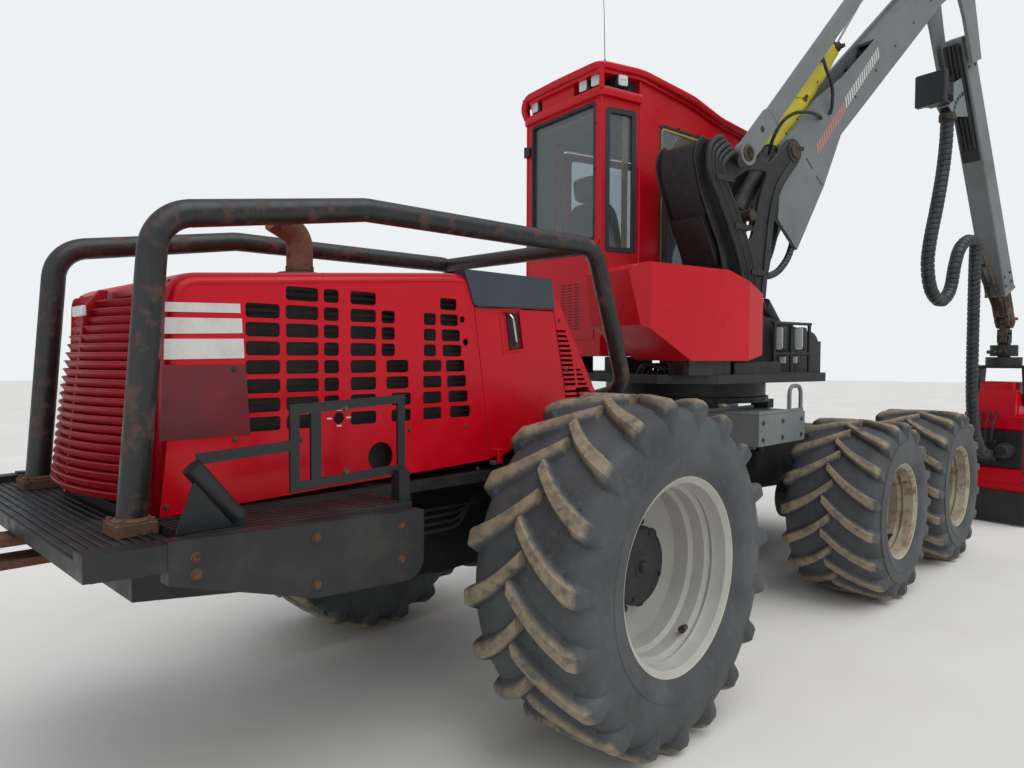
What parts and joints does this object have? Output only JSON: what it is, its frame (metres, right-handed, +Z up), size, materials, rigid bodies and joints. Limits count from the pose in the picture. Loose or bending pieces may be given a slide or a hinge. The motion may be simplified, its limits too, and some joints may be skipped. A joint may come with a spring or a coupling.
{
  "type": "forestry harvester",
  "caption": "Articulated six-wheel forestry harvester with turntable cab, parallel crane and a hanging felling head.",
  "frame": {"origin": "middle of the whole machine's bounding box, on the ground", "axes": "+X forward, from the engine hood towards the crane's tip; +Y to the machine's left; +Z up"},
  "size_m": [9.8746, 3.244, 6.0371],
  "materials": {
    "red_paint": "gloss paint",
    "black_paint": "satin paint, dusty",
    "grey_paint": "satin paint",
    "yellow_sleeve": "worn yellow",
    "cream_rim": "worn paint with rust",
    "rust": "rusty",
    "rod": "polished",
    "iron": "oily",
    "tread": "dusty",
    "pane": "tinted",
    "cloth": "woven",
    "lamp": "clear",
    "engine_iron": "bare"
  },
  "bodies": {
    "front_frame": {"front_frame": "black_paint", "bogie_left": "black_paint", "bogie_right": "black_paint", "leveller": "black_paint", "front_step": "grey_paint"},
    "rear_frame": {"rear_frame": "black_paint", "rear_axle": "black_paint", "engine": "engine_iron", "bumper": "black_paint", "hitch": "rust", "guard": "black_paint", "hood": "red_paint", "grille": "red_paint", "exhaust": "rust", "side_step": "black_paint"},
    "service_door": {"service_door": "red_paint"},
    "turntable": {"turntable": "black_paint", "tank": "red_paint", "cab": "red_paint", "cab_glass": "pane", "seat": "cloth", "work_lamps": "lamp"},
    "cab_door": {"cab_door": "red_paint", "door_glass": "pane"},
    "lever": {"lever": "black_paint"},
    "lift_barrel": {"lift_barrel": "black_paint"},
    "lift_rod": {"lift_rod": "rod"},
    "boom": {"boom": "grey_paint"},
    "tie_bar": {"tie_bar": "grey_paint"},
    "fold_barrel": {"fold_barrel": "yellow_sleeve"},
    "fold_rod": {"fold_rod": "rod"},
    "stick": {"stick": "grey_paint"},
    "extension": {"extension": "rust"},
    "tip_link": {"tip_link": "iron"},
    "cross_link": {"cross_link": "iron"},
    "rotator": {"rotator": "iron"},
    "head": {"head_frame": "red_paint"},
    "feed_arm_left": {"feed_arm_left": "black_paint"},
    "feed_arm_right": {"feed_arm_right": "black_paint"},
    "knife_left": {"knife_left": "black_paint"},
    "knife_right": {"knife_right": "black_paint"},
    "saw_bar": {"saw_bar": "rod"},
    "wheel_rear_left": {"tyre_rear_left": "tread", "rim_rear_left": "cream_rim"},
    "wheel_rear_right": {"tyre_rear_right": "tread", "rim_rear_right": "cream_rim"},
    "wheel_bogie_rear_left": {"tyre_bogie_rear_left": "tread", "rim_bogie_rear_left": "cream_rim"},
    "wheel_bogie_rear_right": {"tyre_bogie_rear_right": "tread", "rim_bogie_rear_right": "cream_rim"},
    "wheel_bogie_front_left": {"tyre_bogie_front_left": "tread", "rim_bogie_front_left": "cream_rim"},
    "wheel_bogie_front_right": {"tyre_bogie_front_right": "tread", "rim_bogie_front_right": "cream_rim"}
  },
  "joints": [
    {"name": "steer", "type": "hinge", "parent": "front_frame", "child": "rear_frame", "pos_m": [-0.84, 0.2, 0.95], "axis": [0, 0, 1], "range_deg": [-40, 40]},
    {"name": "slew", "type": "hinge", "parent": "front_frame", "child": "turntable", "pos_m": [-0.19, 0.2, 1.5], "axis": [0, 0, 1], "range_deg": [-130, 150]},
    {"name": "service_door_hinge", "type": "hinge", "parent": "rear_frame", "child": "service_door", "pos_m": [-2.54, -0.39, 1.262], "axis": [1, 0, 0], "range_deg": [0, 28]},
    {"name": "cab_door_hinge", "type": "hinge", "parent": "turntable", "child": "cab_door", "pos_m": [-0.59217, 1.17075, 2.6], "axis": [0, 0, 1], "range_deg": [0, 85]},
    {"name": "lever_tilt", "type": "hinge", "parent": "turntable", "child": "lever", "pos_m": [-0.41296, -0.25825, 1.98], "axis": [-0.1736, -0.9848, 0], "range_deg": [-12, 18]},
    {"name": "lift_barrel_swing", "type": "hinge", "parent": "turntable", "child": "lift_barrel", "pos_m": [0.33549, -0.39022, 1.8], "axis": [-0.1736, -0.9848, 0], "range_deg": [-3.3, 4.6]},
    {"name": "lift_rod_slide", "type": "slide", "parent": "lift_barrel", "child": "lift_rod", "axis": [-0.6655, 0.1173, 0.7372], "range_m": [-0.093, 0.138]},
    {"name": "boom_lift", "type": "hinge", "parent": "lever", "child": "boom", "pos_m": [0.14838, -0.35723, 3.3], "axis": [-0.1736, -0.9848, 0], "range_deg": [-33, 36]},
    {"name": "tie_bar_swing", "type": "hinge", "parent": "lever", "child": "tie_bar", "pos_m": [-0.50852, -0.45464, 3.17], "axis": [-0.1736, -0.9848, 0], "range_deg": [-29.2, 31.8]},
    {"name": "fold_barrel_swing", "type": "hinge", "parent": "lever", "child": "fold_barrel", "pos_m": [-0.32433, -0.27387, 2.78], "axis": [-0.1736, -0.9848, 0], "range_deg": [-28.4, 31]},
    {"name": "fold_rod_slide", "type": "slide", "parent": "fold_barrel", "child": "fold_rod", "axis": [0.6133, -0.1081, 0.7825], "range_m": [-0.168, 0.183]},
    {"name": "stick_fold", "type": "hinge", "parent": "boom", "child": "stick", "pos_m": [2.72858, -0.81218, 5.4], "axis": [-0.1736, -0.9848, 0], "range_deg": [-16.6, 15.3]},
    {"name": "extension_slide", "type": "slide", "parent": "stick", "child": "extension", "axis": [0.4159, -0.0733, -0.9065], "range_m": [0, 1.2]},
    {"name": "tip_swing", "type": "hinge", "parent": "extension", "child": "tip_link", "pos_m": [4.20579, -1.07265, 2.18], "axis": [-0.1736, -0.9848, 0], "range_deg": [-30, 45]},
    {"name": "cross_swing", "type": "hinge", "parent": "tip_link", "child": "cross_link", "pos_m": [4.20579, -1.07265, 1.99], "axis": [0.9848, -0.1736, 0], "range_deg": [-25, 25]},
    {"name": "rotator_turn", "type": "hinge", "parent": "cross_link", "child": "rotator", "pos_m": [4.20579, -1.07265, 1.84], "axis": [0, 0, 1], "continuous": true},
    {"name": "head_tilt", "type": "hinge", "parent": "rotator", "child": "head", "pos_m": [4.20579, -1.07265, 1.33], "axis": [-0.1736, -0.9848, 0], "range_deg": [-20, 90]},
    {"name": "feed_arm_left_grip", "type": "hinge", "parent": "head", "child": "feed_arm_left", "pos_m": [4.46731, -0.88522, 0.7], "axis": [0, 0, 1], "range_deg": [-10, 25]},
    {"name": "feed_arm_right_grip", "type": "hinge", "parent": "head", "child": "feed_arm_right", "pos_m": [4.38743, -1.33823, 0.7], "axis": [0, 0, -1], "range_deg": [-10, 25]},
    {"name": "knife_left_grip", "type": "hinge", "parent": "head", "child": "knife_left", "pos_m": [4.46731, -0.88522, 0.7], "axis": [0, 0, 1], "range_deg": [-15, 40]},
    {"name": "knife_right_grip", "type": "hinge", "parent": "head", "child": "knife_right", "pos_m": [4.38743, -1.33823, 0.7], "axis": [0, 0, -1], "range_deg": [-15, 40]},
    {"name": "saw_swing", "type": "hinge", "parent": "head", "child": "saw_bar", "pos_m": [4.23878, -0.88554, 0.147], "axis": [0, 0, 1], "range_deg": [0, 85]},
    {"name": "spin_rear_left", "type": "hinge", "parent": "rear_frame", "child": "wheel_rear_left", "pos_m": [-2.44, 1.305, 0.8], "axis": [0, 1, 0], "continuous": true},
    {"name": "spin_rear_right", "type": "hinge", "parent": "rear_frame", "child": "wheel_rear_right", "pos_m": [-2.44, -0.905, 0.8], "axis": [0, 1, 0], "continuous": true},
    {"name": "spin_bogie_rear_left", "type": "hinge", "parent": "front_frame", "child": "wheel_bogie_rear_left", "pos_m": [0.535, 1.28, 0.655], "axis": [0, 1, 0], "continuous": true},
    {"name": "spin_bogie_rear_right", "type": "hinge", "parent": "front_frame", "child": "wheel_bogie_rear_right", "pos_m": [0.535, -0.88, 0.655], "axis": [0, 1, 0], "continuous": true},
    {"name": "spin_bogie_front_left", "type": "hinge", "parent": "front_frame", "child": "wheel_bogie_front_left", "pos_m": [2.045, 1.28, 0.655], "axis": [0, 1, 0], "continuous": true},
    {"name": "spin_bogie_front_right", "type": "hinge", "parent": "front_frame", "child": "wheel_bogie_front_right", "pos_m": [2.045, -0.88, 0.655], "axis": [0, 1, 0], "continuous": true}
  ],
  "couplings": [
    {"joint": "stick_fold", "follows": "boom_lift", "ratio": -0.4455},
    {"joint": "tie_bar_swing", "follows": "boom_lift", "ratio": 0.8679},
    {"joint": "fold_barrel_swing", "follows": "boom_lift", "ratio": 0.8437},
    {"joint": "fold_rod_slide", "follows": "boom_lift", "m_per_rad": 0.2851},
    {"joint": "lift_barrel_swing", "follows": "lever_tilt", "ratio": 0.2243},
    {"joint": "lift_rod_slide", "follows": "lever_tilt", "m_per_rad": 0.427}
  ]
}
